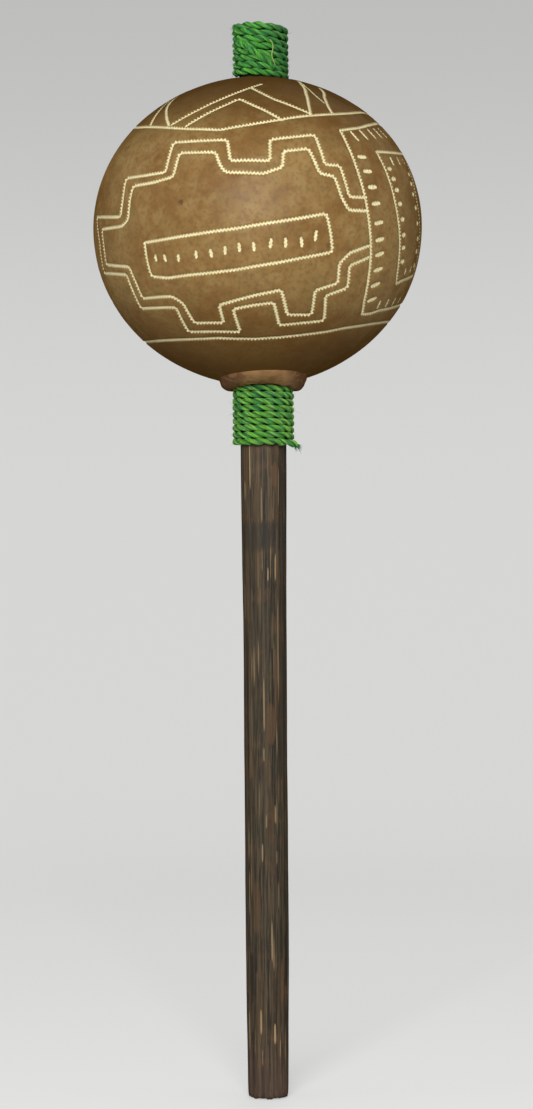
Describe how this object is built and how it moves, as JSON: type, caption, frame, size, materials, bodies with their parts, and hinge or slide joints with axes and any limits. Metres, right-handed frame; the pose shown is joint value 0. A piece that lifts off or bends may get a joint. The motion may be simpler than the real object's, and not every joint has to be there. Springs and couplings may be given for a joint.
{
  "type": "maraca",
  "caption": "Gourd rattle on a palm-wood stick, with carved geometric lines, green cord windings, a sealing collar and loose seeds inside the hollow head.",
  "frame": {"origin": "centre of the stick's foot, on its flat end face", "axes": "+Z along the stick from the foot to the head; -Y is the front of the head, where the large carved medallion is; +X is to the right of it"},
  "size_m": [0.1378, 0.1378, 0.45],
  "materials": {
    "gourd": "satin, dyed brown, with pale carved lines",
    "palm_wood": "matt, fluted, dark with pale fibre streaks",
    "collar_resin": "satin, hand-smoothed",
    "green_cord": "matt twisted plant fibre",
    "seed": "smooth hard seed coat"
  },
  "bodies": {
    "maraca": {"gourd_shell": "gourd", "handle_stick": "palm_wood", "neck_collar": "collar_resin", "lower_winding": "green_cord", "upper_winding": "green_cord"},
    "seed_01": {"seed_01": "seed"},
    "seed_02": {"seed_02": "seed"},
    "seed_03": {"seed_03": "seed"},
    "seed_04": {"seed_04": "seed"},
    "seed_05": {"seed_05": "seed"},
    "seed_06": {"seed_06": "seed"},
    "seed_07": {"seed_07": "seed"},
    "seed_08": {"seed_08": "seed"},
    "seed_09": {"seed_09": "seed"},
    "seed_10": {"seed_10": "seed"},
    "seed_11": {"seed_11": "seed"},
    "seed_12": {"seed_12": "seed"},
    "seed_13": {"seed_13": "seed"},
    "seed_14": {"seed_14": "seed"},
    "seed_15": {"seed_15": "seed"},
    "seed_16": {"seed_16": "seed"},
    "seed_17": {"seed_17": "seed"},
    "seed_18": {"seed_18": "seed"}
  },
  "joints": [
    {"name": "seed_01_rattle", "type": "slide", "parent": "maraca", "child": "seed_01", "axis": [0, 0, 1], "range_m": [0, 0.11]},
    {"name": "seed_02_rattle", "type": "slide", "parent": "maraca", "child": "seed_02", "axis": [0, 0, 1], "range_m": [0, 0.11]},
    {"name": "seed_03_rattle", "type": "slide", "parent": "maraca", "child": "seed_03", "axis": [0, 0, 1], "range_m": [0, 0.11]},
    {"name": "seed_04_rattle", "type": "slide", "parent": "maraca", "child": "seed_04", "axis": [0, 0, 1], "range_m": [0, 0.11]},
    {"name": "seed_05_rattle", "type": "slide", "parent": "maraca", "child": "seed_05", "axis": [0, 0, 1], "range_m": [0, 0.11]},
    {"name": "seed_06_rattle", "type": "slide", "parent": "maraca", "child": "seed_06", "axis": [0, 0, 1], "range_m": [0, 0.11]},
    {"name": "seed_07_rattle", "type": "slide", "parent": "maraca", "child": "seed_07", "axis": [0, 0, 1], "range_m": [0, 0.11]},
    {"name": "seed_08_rattle", "type": "slide", "parent": "maraca", "child": "seed_08", "axis": [0, 0, 1], "range_m": [0, 0.105]},
    {"name": "seed_09_rattle", "type": "slide", "parent": "maraca", "child": "seed_09", "axis": [0, 0, 1], "range_m": [0, 0.105]},
    {"name": "seed_10_rattle", "type": "slide", "parent": "maraca", "child": "seed_10", "axis": [0, 0, 1], "range_m": [0, 0.105]},
    {"name": "seed_11_rattle", "type": "slide", "parent": "maraca", "child": "seed_11", "axis": [0, 0, 1], "range_m": [0, 0.105]},
    {"name": "seed_12_rattle", "type": "slide", "parent": "maraca", "child": "seed_12", "axis": [0, 0, 1], "range_m": [0, 0.105]},
    {"name": "seed_13_rattle", "type": "slide", "parent": "maraca", "child": "seed_13", "axis": [0, 0, 1], "range_m": [0, 0.105]},
    {"name": "seed_14_rattle", "type": "slide", "parent": "maraca", "child": "seed_14", "axis": [0, 0, 1], "range_m": [0, 0.105]},
    {"name": "seed_15_rattle", "type": "slide", "parent": "maraca", "child": "seed_15", "axis": [0, 0, 1], "range_m": [0, 0.105]},
    {"name": "seed_16_rattle", "type": "slide", "parent": "maraca", "child": "seed_16", "axis": [0, 0, 1], "range_m": [0, 0.105]},
    {"name": "seed_17_rattle", "type": "slide", "parent": "maraca", "child": "seed_17", "axis": [0, 0, 1], "range_m": [0, 0.105]},
    {"name": "seed_18_rattle", "type": "slide", "parent": "maraca", "child": "seed_18", "axis": [0, 0, 1], "range_m": [0, 0.105]}
  ]
}
